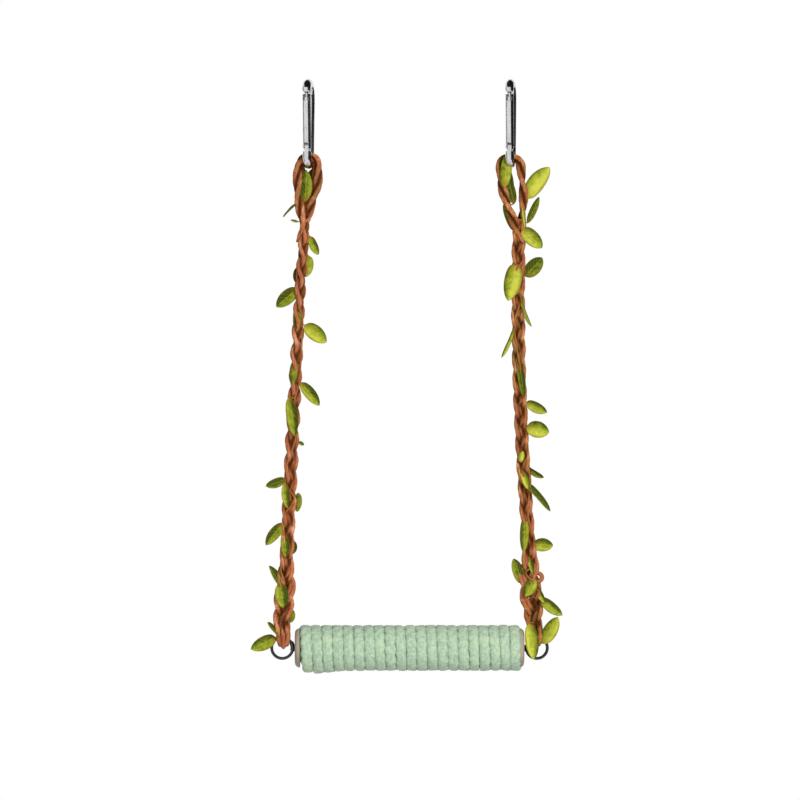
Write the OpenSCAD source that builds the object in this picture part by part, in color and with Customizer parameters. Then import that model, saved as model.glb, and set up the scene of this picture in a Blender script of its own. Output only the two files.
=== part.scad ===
// Bird swing: a rope-wound wooden perch hung by two plaited, leafy cords from two snap hooks.
// Millimetres, +Z up, +X along the perch, the front of the swing looks along -Y.
// The origin is midway between the hooks, on the axis of the cage bar that they hang from.

/* [Perch] */
// Length of the turned dowel, over its collars
perch_len = 120; // [90:1:160]
// Height of the bar's axis above the perch's axis
drop = 291.5; // [270:0.5:340]
// Diameter of the dowel under the rope
core_d = 15; // [12:0.5:18]
// Diameter of the collar at each end
collar_d = 20.5; // [19.5:0.5:28]
// Width of each collar
collar_w = 2.6; // [2.5:0.1:5]
// Rounding of each collar's outer edge
collar_round = 2.4; // [1:0.1:2.4]
// Diameter of the cotton rope
rope_d = 4.7; // [3:0.1:4.8]
// Turns of rope between the collars
rope_turns = 21; // [12:1:21]
// Gap between the rope and the dowel
rope_gap = 0.2; // [0.15:0.05:0.4]

/* [Screw eyes] */
// Wire of the screw eyes
eye_wire_d = 1.6; // [1.2:0.1:2]
// Radius of the ring's centre line
eye_r = 5.5; // [5.2:0.1:7]
// Gap between the ring and the dowel's end
eye_stand = 0.4; // [0.3:0.1:2]
// Length of the shank inside the dowel
shank_len = 10; // [6:0.5:20]
// Opening of the ring beside its shank, in degrees
eye_split = 14; // [14:1:40]

/* [Hooks] */
// Distance between the two hooks
hook_spacing = 106; // [90:1:130]
// Overall length of a hook
hook_len = 47; // [45:0.5:52]
// Wire of the hooks
hook_wire_d = 4.6; // [4:0.1:4.8]
// Centre line radius of the top bend
hook_top_r = 8.2; // [7.5:0.1:9]
// Centre line radius of the bottom bend
hook_bottom_r = 4.9; // [4.8:0.1:5.5]
// Diameter of the cage bar that the hooks hang from
bar_d = 4; // [2:0.5:6]
// How far each hook is turned on its cord, in degrees
hook_turn = 7; // [0:1:12]
// Angle above level at which the nose ends
nose_angle = 30; // [20:1:35]
// Diameter of the gate
gate_d = 4.4; // [4.2:0.1:5]
// Diameter of the gate's rivet
rivet_d = 1.5; // [1.2:0.1:1.6]
// Thickness of the tang that the gate straddles
tang_t = 1.9; // [1.6:0.1:2.2]
// Wire of the gate's spring
spring_wire_d = 0.4; // [0.3:0.05:0.4]
// Curls of the gate's spring
spring_curls = 7; // [5:1:7]

/* [Cords] */
// Diameter of the cord of the loops and tails
cord_d = 3; // [2.4:0.1:3.1]
// Diameter of one plaited cord
strand_d = 2.3; // [1.8:0.1:2.4]
// Width of the plait at the top
plait_w = 7.5; // [7.4:0.1:9]
// Width of the plait at the bottom
plait_w_low = 8.8; // [7.6:0.1:10]
// Thickness of the plait
plait_t = 5.6; // [5.2:0.1:7]
// Length of the plait in which one cord crosses over and back
plait_pitch = 34; // [30:1:40]
// Half the width of the loop over the hook, on its centre line
loop_r = 5.3; // [5.2:0.1:6.5]
// Height of the loop, from the hook to the neck where its legs meet
loop_h = 34.8; // [30:0.1:40]
// Height from the ring's top wire to the neck above it
tail_h = 22; // [18:0.5:26]
// Distance of the left neck from the middle of the swing
left_neck = 55; // [50:0.5:58]
// Distance of the right neck from the middle of the swing
right_neck = 57.5; // [50:0.5:58]
// How far the lower necks lie inside the rings
neck_in = 1.5; // [0:0.5:3]
// Outward bow of the left plait, high and low
left_bow_high = 1; // [-3:0.5:3]
left_bow_low = 0.5; // [-3:0.5:3]
// Outward bow of the right plait, high and low
right_bow_high = -4.5; // [-5:0.5:3]
right_bow_low = -4; // [-5:0.5:3]

/* [Leaves] */
// Length of a leaf of the usual size
leaf_len = 15; // [10:0.5:18]
// Width of a leaf of the usual size
leaf_w = 8; // [5:0.5:9]
// Thickness of a leaf
leaf_t = 0.5; // [0.4:0.05:0.7]
// Length of a leaf's stalk
stalk_len = 2; // [1.5:0.1:3]
// Diameter of a leaf's stalk
stalk_d = 0.9; // [0.7:0.1:1]
// Diameter of the vine's stem
stem_d = 1.2; // [1:0.1:1.4]

/* [Hidden] */
$fn = 48;

// Clearances
run_gap = 0.05;   // a pin in its hole
seat_gap = 0.15;  // a cord or stalk against what carries it
cord_gap = 0.4;   // a cord that swings against a wire
neck_gap = 0.9;   // where a cord bends, between its two stiff lengths
hook_gap = 0.3;   // a loop over a hook's wire
slot_gap = 0.25;  // each side of the latch and the tang
cut = 1;          // overrun of every cut

// Hook, in its own plane with its spine upright: y is across the hook, z is up, the bar at 0
hook_x = hook_spacing / 2;
wire_r = hook_wire_d / 2;
top_z = bar_d / 2 + wire_r - hook_top_r;
low_y = hook_top_r - hook_bottom_r;
low_z = top_z - (hook_len - hook_wire_d - hook_top_r - hook_bottom_r);
// It hangs with the cord's seat below the bar, so its spine leans a little
hang = atan2(low_y, -low_z);
bottom_z = -norm([low_y, low_z]);
stub_len = gate_d / 4;
hinge_up = stub_len + gate_d / 2 + cord_gap;
hinge = [low_y - hook_bottom_r, low_z + hinge_up];
nose = [-hook_top_r * cos(nose_angle), top_z + hook_top_r * sin(nose_angle)];
gate_tilt = atan2(hinge[0] - nose[0], nose[1] - hinge[1]);
gate_reach = norm(nose - hinge);

// Latch: a headed pin on the nose, and the slot for it in the gate
latch_d = 0.4 * gate_d;
latch_head_d = 0.64 * gate_d;
latch_head_h = 0.32 * gate_d;
latch_lip = 0.32 * gate_d;
gate_top = gate_reach - wire_r - cord_gap;
head_top = gate_top - latch_lip;

// Gate spring and plunger
bore_d = 0.6 * gate_d;
bore_from = tang_t / 2 + rivet_d;
bore_to = bore_from + 12 * spring_curls / 7 * spring_wire_d / 0.4;
plunger_d = bore_d - 4 * run_gap;
plunger_len = 1.5 * plunger_d;
plunger_from = bore_from - spring_wire_d / 2;
spring_r = plunger_d / 2 - spring_wire_d / 2;
spring_from = plunger_from + plunger_len + spring_wire_d / 4;
spring_to = bore_to - spring_wire_d / 4;

// Perch and screw eyes
perch_z = -drop;
wind_len = perch_len - 2 * collar_w;
rope_r = core_d / 2 + rope_gap + rope_d / 2;
rope_pitch = (wind_len - rope_d - 2 * rope_gap) / rope_turns;
// Both ends of the rope lie low at the back, in degrees from the top
rope_end_angle = 150;
eye_x = perch_len / 2 + eye_stand + eye_r + eye_wire_d / 2;
shank_hole_d = eye_wire_d + 2 * run_gap;

// Hangers: a swing axis in the loop over each hook, a neck, a plait, a neck and a ring
swing_z = bottom_z - hook_bottom_r + wire_r + hook_gap + cord_d / 2;
neck_z = swing_z - loop_h;
ring_z = perch_z + eye_r;
tail_z = ring_z + tail_h;
tail_x = eye_x - neck_in;
lap = (cord_d + cord_gap) / 2;
plait_len = neck_z - tail_z - neck_gap;
pair_x = cord_d / 2 + seat_gap;
pair_drop = eye_r - sqrt(eye_r * eye_r - pair_x * pair_x);
tuck_r = eye_r - sqrt(pow(eye_r - eye_wire_d / 2 - cord_gap - cord_d / 2, 2) - pow(pair_x, 2)) - pair_drop;

// Sides and rings of the swept cords
cord_sides = 8;
stem_sides = 6;
// The plait is blunter than an oval, so the stem stands out by this share at its corners
stem_swell = 0.14;
turn_rings = 24;
curl_rings = 8;
form_sides = 6;
plait_rings = 58;
stem_rings = 30;
stem_ring_angle = 30;
stem_ends = 0.02;

// Leaves on each plait: height share, place round the plait, rise, roll (all degrees), size share
left_leaf_shares = [
    [0.035, 0, -54, 0, 0.5],
    [0.085, 20, -72, 20, 0.65],
    [0.12, 180, -70, 80, 0.55],
    [0.175, 185, -46, 10, 0.9],
    [0.265, 350, -38, 0, 0.9],
    [0.42, 350, -52, 10, 0.93],
    [0.475, 270, -80, 90, 1.25],
    [0.575, 330, -50, 60, 0.35],
    [0.67, 190, -28, 40, 0.72],
    [0.7, 235, -80, 85, 0.85],
    [0.735, 330, -78, 80, 0.6],
    [0.8, 185, -51, 0, 0.85],
    [0.84, 270, -80, 90, 0.8],
    [0.905, 175, -50, 75, 0.7],
    [0.95, 270, -78, 90, 0.8]
];
right_leaf_shares = [
    [0.02, 350, -33, 0, 0.7],
    [0.09, 370, -35, 20, 0.7],
    [0.125, 235, -67, 35, 1.3],
    [0.2, 310, -70, 85, 1.1],
    [0.275, 200, -64, 75, 1.1],
    [0.475, 350, -24, 15, 0.75],
    [0.54, 350, -30, 0, 0.75],
    [0.645, 370, -40, 70, 0.6],
    [0.68, 350, -52, 45, 1.4],
    [0.79, 270, -80, 90, 1.1],
    [0.86, 350, -12, 10, 0.65],
    [0.92, 330, -70, 80, 0.4],
    [0.94, 180, 60, 0, 0.75],
    [0.965, 275, -78, 90, 0.7]
];

// Leaves on each loop: leg (-1 left, 1 right), height share, direction, rise, roll, size share
left_loop_leaf_shares = [
    [-1, 0.05, 0, -72, 50, 0.85],
    [-1, 0.62, 185, -40, 80, 0.8],
    [-1, 0.93, 200, -8, 70, 0.3]
];
right_loop_leaf_shares = [
    [-1, 0.42, 240, 78, 88, 1],
    [1, 0.57, 350, 48, 0, 1.15],
    [1, 0.97, 0, 66, 45, 0.75]
];

// Leaves on each tail at the ring: height share, place round the cords, rise, roll, size share
left_tail_leaf_shares = [
    [0.15, 350, -45, 60, 0.5],
    [0.58, 190, -40, 75, 0.6],
    [0.88, 205, -28, 0, 1]
];
right_tail_leaf_shares = [
    [0.08, 345, -38, 15, 0.9],
    [0.85, 335, 57, 0, 1],
    [0.6, 265, -48, 90, 1.2]
];

// Vectors and curves

function unit(v) = v / norm(v);
function bezier(p, t) =
    pow(1 - t, 3) * p[0] + 3 * t * pow(1 - t, 2) * p[1] + 3 * t * t * (1 - t) * p[2] + pow(t, 3) * p[3];
function spread(n) = [for (i = [0 : n]) i / n];

// A round tube swept along points. The tube's rings are set square to the path, using a
// direction that the path never follows. A tube with level ends is cut level at both ends.
module tube(path, d, sides, across, level_ends = false) {
    n = len(path);
    points = [
        for (i = [0 : n - 1])
            let (
                along = unit(path[min(i + 1, n - 1)] - path[max(i - 1, 0)]),
                ahead = level_ends && (i == 0 || i == n - 1) ? [0, 0, sign(along[2])] : along,
                a = unit(cross(across, ahead)),
                b = cross(ahead, a)
            )
            for (k = [0 : sides - 1])
                path[i] + d / 2 * (cos(360 * k / sides) * a + sin(360 * k / sides) * b)
    ];
    walls = [
        for (i = [0 : n - 2])
            for (k = [0 : sides - 1])
                let (
                    near = i * sides + k,
                    beside = i * sides + (k + 1) % sides
                )
                each [[near, near + sides, beside + sides], [near, beside + sides, beside]]
    ];
    caps = [
        for (k = [1 : sides - 2])
            each [[0, k, k + 1], [(n - 1) * sides, (n - 1) * sides + k + 1, (n - 1) * sides + k]]
    ];
    polyhedron(points, concat(walls, caps));
}

// The least gap of a winding to itself, between rings half a turn to one and a half turns apart
function own_gap(path, rings, d) = min([
    for (i = [0 : len(path) - 1])
        for (j = [i + rings / 2 : min(i + 3 * rings / 2, len(path) - 1)])
            norm(path[i] - path[j])
]) - d;

// Snap hooks

module at_hook(side) {
    translate([side * hook_x, 0, 0])
        rotate([0, 0, -hook_turn])
            rotate([-hang, 0, 0])
                children();
}

module at_hinge() {
    translate([0, hinge[0], hinge[1]]) rotate([gate_tilt, 0, 0]) children();
}

module wire_bend(y, z, r, from, to) {
    translate([0, y, z])
        rotate([90, 0, 90])
            rotate([0, 0, from])
                rotate_extrude(angle = to - from)
                    translate([r, 0])
                        circle(d = hook_wire_d);
}

module wire_up(y, z, length) {
    translate([0, y, z]) cylinder(d = hook_wire_d, h = length);
}

// The bent wire of a hook, with the tang for the gate and the headed latch pin on its nose
module hook_frame() {
    color("silver") {
        difference() {
            union() {
                wire_bend(0, top_z, hook_top_r, 0, 180 - nose_angle);
                wire_up(hook_top_r, low_z, top_z - low_z);
                wire_bend(low_y, low_z, hook_bottom_r, 180, 360);
                wire_up(hinge[0], low_z, stub_len);
                translate([0, nose[0], nose[1]]) sphere(d = hook_wire_d);
                tang();
            }
            at_hinge()
                rotate([0, 90, 0])
                    cylinder(d = rivet_d + 2 * run_gap, h = hook_wire_d + 2 * cut, center = true);
        }
        latch();
    }
}

// The flattened end of the wire, rounded about the hinge
module tang() {
    at_hinge() {
        rotate([0, 90, 0]) cylinder(d = tang_d(), h = tang_t, center = true);
        translate([-tang_t / 2, -tang_d() / 2, -hinge_up])
            cube([tang_t, tang_d(), hinge_up]);
    }
}

function tang_d() = 2 * (bore_from - cord_gap);

module latch() {
    at_hinge() {
        translate([0, 0, head_top - slot_gap])
            cylinder(d = latch_d, h = gate_reach - head_top + slot_gap);
        translate([0, 0, head_top - slot_gap - latch_head_h])
            cylinder(d = latch_head_d, h = latch_head_h);
    }
}

// The gate: a round bar forked over the tang, bored for its spring, slotted for the latch
module gate() {
    color("gainsboro") at_hinge() {
        difference() {
            union() {
                cylinder(d = gate_d, h = gate_top);
                sphere(d = gate_d);
            }
            translate([-tang_t / 2 - slot_gap, -gate_d, -gate_d])
                cube([tang_t + 2 * slot_gap, 2 * gate_d, gate_d + bore_from]);
            translate([0, 0, bore_from - cut])
                cylinder(d = bore_d, h = bore_to - bore_from + cut);
            rotate([0, 90, 0])
                cylinder(d = rivet_d + 2 * run_gap, h = gate_d + 2 * cut, center = true);
            latch_slot(latch_d, head_top - slot_gap, gate_top + cut);
            latch_slot(latch_head_d, head_top - latch_head_h - 2 * slot_gap, head_top);
        }
    }
}

// A slot from the middle of the gate out through its front
module latch_slot(d, from, to) {
    w = d + 2 * slot_gap;
    translate([0, 0, from]) cylinder(d = w, h = to - from);
    translate([-w / 2, -gate_d, from]) cube([w, gate_d, to - from]);
}

module gate_pin() {
    color("dimgray")
        at_hinge()
            rotate([0, 90, 0])
                cylinder(d = rivet_d, h = gate_d, center = true);
}

spring_path = concat(
    [[spring_r, 0, spring_from]],
    [
        for (i = [0 : spring_curls * curl_rings])
            let (t = i / (spring_curls * curl_rings))
            [
                spring_r * cos(t * 360 * spring_curls),
                spring_r * sin(t * 360 * spring_curls),
                spring_from + spring_wire_d + t * (spring_to - spring_from - 2 * spring_wire_d)
            ]
    ],
    [[spring_r, 0, spring_to]]
);

// The spring that closes the gate, inside its bore
module gate_spring() {
    echo(spring_gap = own_gap(spring_path, curl_rings, spring_wire_d));
    color("slategray") at_hinge() tube(spring_path, spring_wire_d, form_sides, [0.3, 0.2, 1]);
}

// The plunger between the spring and the tang
module gate_plunger() {
    color("lightslategray")
        at_hinge()
            translate([0, 0, plunger_from])
                cylinder(d = plunger_d, h = plunger_len);
}

// Hangers

function side_neck(side) = side < 0 ? left_neck : right_neck;
function side_bow(side) = side < 0 ? [left_bow_high, left_bow_low] : [right_bow_high, right_bow_low];

// The middle of a plait at a share of its height
function plait_middle(side, t) =
    let (
        from = side_neck(side),
        run = tail_x - from,
        bow = side_bow(side),
        x = bezier([from, from + run / 3 + bow[0], from + 2 * run / 3 + bow[1], tail_x], t)
    )
    [side * x, 0, neck_z - neck_gap / 2 - t * plait_len];

// How far a plait is turned about its length: the left one shows its edge at the top
function plait_turn(side, t) = side < 0 ? 80 * (1 - t) : 0;

// A place in a plait's own cross-section
function across_plait(side, t, u, v) =
    let (a = plait_turn(side, t))
    plait_middle(side, t) + [u * cos(a) - v * sin(a), u * sin(a) + v * cos(a), 0];

function plait_reach(t) = (plait_w + (plait_w_low - plait_w) * t * t - strand_d) / 2;

function plait_path(side, strand) = [
    for (t = spread(plait_rings))
        let (phase = 360 * t * plait_len / plait_pitch + 120 * strand)
        across_plait(side, t, plait_reach(t) * sin(phase), (plait_t - strand_d) / 2 * sin(2 * phase))
];

// One cord of a plait
module plait_cord(side, strand) {
    color(strand == 2 ? "peru" : "sienna")
        tube(plait_path(side, strand), strand_d, cord_sides, [0, 1, 0], true);
}

// One leg of the loop over a hook, at a share of the way from the hook to the neck
function loop_leg(side, leg, t) =
    let (
        x0 = side * hook_x + leg * loop_r,
        x1 = side * side_neck(side),
        z0 = swing_z - loop_r,
        z1 = neck_z + neck_gap / 2,
        z = z0 - z1
    )
    bezier([
        [x0, 0, z0],
        [x0 + leg * loop_r / 5, 0, z0 - z / 3],
        [x1 + leg * loop_r / 2, leg * lap, z1 + z / 3],
        [x1, leg * lap, z1]
    ], t);

function loop_path(side) = concat(
    [for (t = spread(8)) loop_leg(side, -1, 1 - t)],
    [
        for (i = [1 : 9])
            [side * hook_x - loop_r * cos(18 * i), 0, swing_z - loop_r + loop_r * sin(18 * i)]
    ],
    [for (t = spread(8)) loop_leg(side, 1, t)]
);

// The cord's loop over the hook, from neck to neck
module loop_cord(side) {
    color("sienna") tube(loop_path(side), cord_d, cord_sides, [0, 1, 0], true);
}

// One of the two cords through a ring: down the front, under the ring's wire, up the back
function tail_leg(side, place, face, t) =
    let (
        x0 = side * tail_x + place * pair_x,
        x1 = side * eye_x + place * pair_x,
        z0 = tail_z - neck_gap / 2,
        z1 = ring_z - pair_drop,
        z = z0 - z1
    )
    bezier([
        [x0, face * lap, z0],
        [x0, face * lap, z0 - z / 3],
        [x1, face * tuck_r, z1 + z / 3],
        [x1, face * tuck_r, z1]
    ], t);

function tail_path(side, place) = concat(
    [for (t = spread(6)) tail_leg(side, place, -1, t)],
    [
        for (i = [1 : 8])
            [
                side * eye_x + place * pair_x,
                -tuck_r * cos(20 * i),
                ring_z - pair_drop - tuck_r * sin(20 * i)
            ]
    ],
    [for (t = spread(6)) tail_leg(side, place, 1, 1 - t)]
);

module tail_cords(side) {
    color("sienna")
        for (place = [-1, 1])
            tube(tail_path(side, place), cord_d, cord_sides, [1, 0, 0], true);
}

// Vine and leaves

function side_leaves(side) = side < 0 ? left_leaf_shares : right_leaf_shares;

// The stem winds round the plait through the foot of every leaf
function stem_place(side, t, angle) =
    let (
        a = angle - plait_turn(side, t),
        off = stem_d / 2 + seat_gap,
        swell = 1 + stem_swell * pow(sin(2 * a), 2)
    )
    across_plait(
        side, t,
        swell * (plait_reach(t) + strand_d / 2 + off) * cos(a),
        swell * (plait_t / 2 + off) * sin(a)
    );

function stem_path(side) =
    let (
        rows = side_leaves(side),
        last = len(rows) - 1,
        stops = concat([[stem_ends, rows[0][1]]], rows, [[1 - stem_ends, rows[last][1]]])
    )
    [
        for (i = [0 : last + 1])
            let (
                from = stops[i],
                to = stops[i + 1],
                turn = to[1] - from[1],
                n = ceil(max(abs(turn) / stem_ring_angle, (to[0] - from[0]) * stem_rings))
            )
            for (k = [0 : n - 1])
                stem_place(side, from[0] + (to[0] - from[0]) * k / n, from[1] + turn * k / n),
        stem_place(side, 1 - stem_ends, rows[last][1])
    ];

module vine(side) {
    color("darkolivegreen") tube(stem_path(side), stem_d, stem_sides, [0.2, 1, 0.1]);
}

// A pointed oval leaf that lies in the XZ plane, its stalk's foot at the origin, its tip along X
module leaf(size) {
    length = size * leaf_len;
    w = sqrt(size) * leaf_w;
    r = (length * length / 4 + w * w / 4) / w;
    rotate([90, 0, 0]) {
        translate([stalk_len + length / 2 - stalk_d / 2, 0, -leaf_t / 2])
            linear_extrude(leaf_t)
                intersection() {
                    translate([0, r - w / 2]) circle(r = r);
                    translate([0, w / 2 - r]) circle(r = r);
                }
        rotate([0, 90, 0]) cylinder(d = stalk_d, h = stalk_len + 2 * stalk_d);
    }
}

// Puts a leaf's foot beside a place, pointing in a direction, rising and rolled about its length
module place_leaf(at, clear, angle, rise, roll, size) {
    translate(at)
        rotate([0, 0, angle])
            translate([clear + stalk_d / 2 + seat_gap, 0, 0])
                rotate([roll, -rise, 0])
                    leaf(size);
}

module plait_leaves(side) {
    color("yellowgreen")
        for (row = side_leaves(side))
            place_leaf(
                stem_place(side, row[0], row[1]),
                stem_d / 2, row[1], row[2], row[3], row[4]
            );
}

module loop_leaves(side) {
    color("olivedrab")
        for (row = side < 0 ? left_loop_leaf_shares : right_loop_leaf_shares)
            place_leaf(
                loop_leg(side, row[0], row[1]),
                cord_d / 2, row[2], row[3], row[4], row[5]
            );
}

module tail_leaves(side) {
    color("yellowgreen")
        for (row = side < 0 ? left_tail_leaf_shares : right_tail_leaf_shares)
            let (
                t = row[0],
                front = tail_leg(side, 0, -1, t)
            )
            place_leaf(
                [
                    front[0] + (pair_x + cord_d / 2) * cos(row[1]),
                    (cord_d / 2 - front[1]) * sin(row[1]),
                    front[2]
                ],
                seat_gap, row[1], row[2], row[3], row[4]
            );
}

// Perch

module collar() {
    rotate_extrude() {
        square([collar_d / 2 - collar_round, collar_w]);
        square([collar_d / 2, collar_w - collar_round]);
        translate([collar_d / 2 - collar_round, collar_w - collar_round])
            intersection() {
                circle(r = collar_round);
                square(collar_round);
            }
    }
}

// The turned dowel, with a rounded collar and a pilot hole at each end
module perch_dowel() {
    color("burlywood")
        translate([0, 0, perch_z])
            difference() {
                union() {
                    rotate([0, 90, 0]) cylinder(d = core_d, h = wind_len, center = true);
                    for (end = [-1, 1])
                        translate([end * wind_len / 2, 0, 0]) rotate([0, end * 90, 0]) collar();
                }
                for (end = [-1, 1])
                    translate([end * (perch_len / 2 + cut), 0, 0])
                        rotate([0, -end * 90, 0])
                            cylinder(d = shank_hole_d, h = shank_len + run_gap + cut);
            }
}

function wind_point(t) =
    let (a = rope_end_angle - 360 * rope_turns * t)
    [rope_pitch * rope_turns * (t - 0.5), rope_r * sin(a), rope_r * cos(a)];
function straight_end(from, towards) = towards + rope_d * unit(towards - from);

rope_turn_points = [for (t = spread(rope_turns * turn_rings)) wind_point(t)];
rope_last = len(rope_turn_points) - 1;
rope_path = concat(
    [straight_end(rope_turn_points[1], rope_turn_points[0])],
    rope_turn_points,
    [straight_end(rope_turn_points[rope_last - 1], rope_turn_points[rope_last])]
);

// The cotton rope, wound from collar to collar in one length
module perch_rope() {
    echo(rope_gap_to_itself = own_gap(rope_path, turn_rings, rope_d));
    color("darkseagreen") translate([0, 0, perch_z]) tube(rope_path, rope_d, form_sides, [1, 0, 0]);
}

// A screw eye: a ring that faces the front, closed back towards its shank
module screw_eye(side) {
    color("darkgray")
        translate([side * eye_x, 0, perch_z])
            rotate([0, 0, side < 0 ? 0 : 180]) {
                rotate([90, 0, 0])
                    rotate_extrude(angle = 360 - eye_split)
                        translate([eye_r, 0])
                            circle(d = eye_wire_d);
                translate([eye_r, 0, 0])
                    rotate([0, 90, 0])
                        cylinder(d = eye_wire_d, h = eye_wire_d / 2 + eye_stand + shank_len);
                translate([eye_r, 0, 0]) sphere(d = eye_wire_d);
            }
}

at_hook(-1) hook_frame();  // left_hook
at_hook(-1) gate_pin();  // left_gate_pin
at_hook(-1) gate();  // left_gate
at_hook(-1) gate_spring();  // left_gate_spring
at_hook(-1) gate_plunger();  // left_gate_plunger
at_hook(1) hook_frame();  // right_hook
at_hook(1) gate_pin();  // right_gate_pin
at_hook(1) gate();  // right_gate
at_hook(1) gate_spring();  // right_gate_spring
at_hook(1) gate_plunger();  // right_gate_plunger
loop_cord(-1);  // left_loop_cord
loop_leaves(-1);  // left_loop_leaves
loop_cord(1);  // right_loop_cord
loop_leaves(1);  // right_loop_leaves
plait_cord(-1, 0);  // left_plait_cord_a
plait_cord(-1, 1);  // left_plait_cord_b
plait_cord(-1, 2);  // left_plait_cord_c
vine(-1);  // left_vine
plait_leaves(-1);  // left_leaves
plait_cord(1, 0);  // right_plait_cord_a
plait_cord(1, 1);  // right_plait_cord_b
plait_cord(1, 2);  // right_plait_cord_c
vine(1);  // right_vine
plait_leaves(1);  // right_leaves
tail_cords(-1);  // left_tail_cords
tail_leaves(-1);  // left_tail_leaves
tail_cords(1);  // right_tail_cords
tail_leaves(1);  // right_tail_leaves
perch_dowel();
perch_rope();
screw_eye(-1);  // left_screw_eye
screw_eye(1);  // right_screw_eye
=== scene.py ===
# %% [markdown]
# # A bird swing, dressed for its picture
# The swing hangs from two steel snap hooks. Each hook carries a cord that is looped over it,
# plaited, twined with a leafy vine and folded through the screw eye at one end of a wooden perch.
# Cotton rope is wound round the perch so that a bird's feet can grip it.
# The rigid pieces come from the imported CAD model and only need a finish. Everything soft is
# made here, in the place that its plain CAD solid holds.

import math
import random
import bpy
import bmesh
from mathutils import Matrix, Vector, kdtree, noise
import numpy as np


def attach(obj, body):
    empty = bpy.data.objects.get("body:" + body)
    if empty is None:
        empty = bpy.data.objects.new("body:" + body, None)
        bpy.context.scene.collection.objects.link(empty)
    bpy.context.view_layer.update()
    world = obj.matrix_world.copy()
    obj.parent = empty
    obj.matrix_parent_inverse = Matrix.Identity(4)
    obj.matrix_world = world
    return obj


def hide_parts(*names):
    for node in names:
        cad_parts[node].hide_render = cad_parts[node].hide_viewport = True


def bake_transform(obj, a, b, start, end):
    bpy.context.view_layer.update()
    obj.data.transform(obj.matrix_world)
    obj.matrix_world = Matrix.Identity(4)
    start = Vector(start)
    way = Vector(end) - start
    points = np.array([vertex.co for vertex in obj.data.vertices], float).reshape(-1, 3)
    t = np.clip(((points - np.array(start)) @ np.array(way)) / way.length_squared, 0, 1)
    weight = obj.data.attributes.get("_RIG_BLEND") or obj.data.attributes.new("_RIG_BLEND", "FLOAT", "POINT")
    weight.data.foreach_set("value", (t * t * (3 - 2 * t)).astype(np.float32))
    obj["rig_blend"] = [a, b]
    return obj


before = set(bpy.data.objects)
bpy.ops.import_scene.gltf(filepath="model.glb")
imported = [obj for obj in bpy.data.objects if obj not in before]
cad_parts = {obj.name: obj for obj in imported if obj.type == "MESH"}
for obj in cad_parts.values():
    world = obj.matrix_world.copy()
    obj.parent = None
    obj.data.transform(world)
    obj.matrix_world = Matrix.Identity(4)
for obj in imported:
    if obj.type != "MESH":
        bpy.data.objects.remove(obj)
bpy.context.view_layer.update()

# %% [markdown]
# ## The camera
# The picture was taken straight from the front, from far enough away that the two hooks look
# the same size. A long lens two metres away gives that. Its length is chosen so that one pixel
# of the picture is 0.524 mm at the swing.

# %% Camera
MM = 0.001
PICTURE = 800
PIXEL = 0.524 * MM
MIDDLE_COLUMN = 409.5
TOP_ROW = 79
TOP_Z = 6.6 * MM
AWAY = 2.0
SENSOR = 36
scene = bpy.context.scene
scene.view_settings.view_transform = "Standard"


def photo_point(px, py):
    """The place in the swing's own plane behind a pixel of the picture."""
    return Vector(((px - MIDDLE_COLUMN) * PIXEL, 0, TOP_Z - (py - TOP_ROW) * PIXEL))


lens = bpy.data.cameras.new("camera")
lens.sensor_width = SENSOR
lens.lens = SENSOR * AWAY / (PICTURE * PIXEL)
lens.clip_end = 20
camera = bpy.data.objects.new("camera", lens)
scene.collection.objects.link(camera)
camera.location = photo_point(PICTURE / 2, PICTURE / 2) + Vector((0, -AWAY, 0))
camera.rotation_euler = (math.radians(90), 0, 0)
scene.camera = camera
print("lens", round(lens.lens, 1), "mm at", camera.location)

# %% [markdown]
# ## Sizes
# The soft pieces follow the same sizes as the CAD solids that they replace, in millimetres.

# %% Sizes of the cords
# Each joint of a cord, from the hook down: where a loop swings, the neck, the tail and the ring
HOOK_X = 53.0
SWING_Z = -34.1636
NECK_X = {-1: 55.0, 1: 57.5}
NECK_Z = SWING_Z - 34.8
NECK_GAP = 0.9
TAIL_X = 65.2
TAIL_Z = -264.0
EYE_X = 66.7
RING_Z = -286.0
BEND_HALF = 2.5
# A loop's radius over the hook, and how far its legs cross behind each other at the neck
LOOP_R = 5.3
LAP = 1.7
# A plait's length and pitch, and how far it bows outwards at its two inner stops
PLAIT_LEN = NECK_Z - TAIL_Z - NECK_GAP
PLAIT_PITCH = 34.0
BOW = {-1: (1.0, 0.5), 1: (-4.5, -4.0)}
CORD_STEP = 0.6
SIDES = {-1: "left", 1: "right"}


def bezier(p, t):
    """The place at a share of the way along a Bezier curve with four stops."""
    s = 1 - t
    return p[0] * s**3 + p[1] * 3 * t * s**2 + p[2] * 3 * t * t * s + p[3] * t**3


def plait_middle(side, t):
    """The middle of a plait at a share of its height; past the ends it runs on straight."""
    start = NECK_X[side]
    run = TAIL_X - start
    bow = BOW[side]
    stops = (start, start + run / 3 + bow[0], start + 2 * run / 3 + bow[1], TAIL_X)
    u = min(max(t, 0), 1)
    x = bezier(stops, u) + (t - u) * run
    return Vector((side * x, 0, NECK_Z - NECK_GAP / 2 - t * PLAIT_LEN))


def plait_turn(side, t):
    """The left plait shows its edge at the top and its face at the bottom."""
    return math.radians(80 * (1 - t)) if side < 0 else 0.0


def across_plait(side, t, u, v):
    """The place beside a plait's middle: u across its face and v out of it."""
    a = plait_turn(side, t)
    x = u * math.cos(a) - v * math.sin(a)
    y = u * math.sin(a) + v * math.cos(a)
    return plait_middle(side, t) + Vector((x, y, 0))


def bend_span(x, z):
    """Where a piece that two bodies share starts to bend, above a joint, and where it stops."""
    joint = Vector((x, 0, z))
    reach = Vector((0, 0, BEND_HALF))
    return (joint + reach) * MM, (joint - reach) * MM


print("plait", round(PLAIT_LEN, 1), "mm long")

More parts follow.
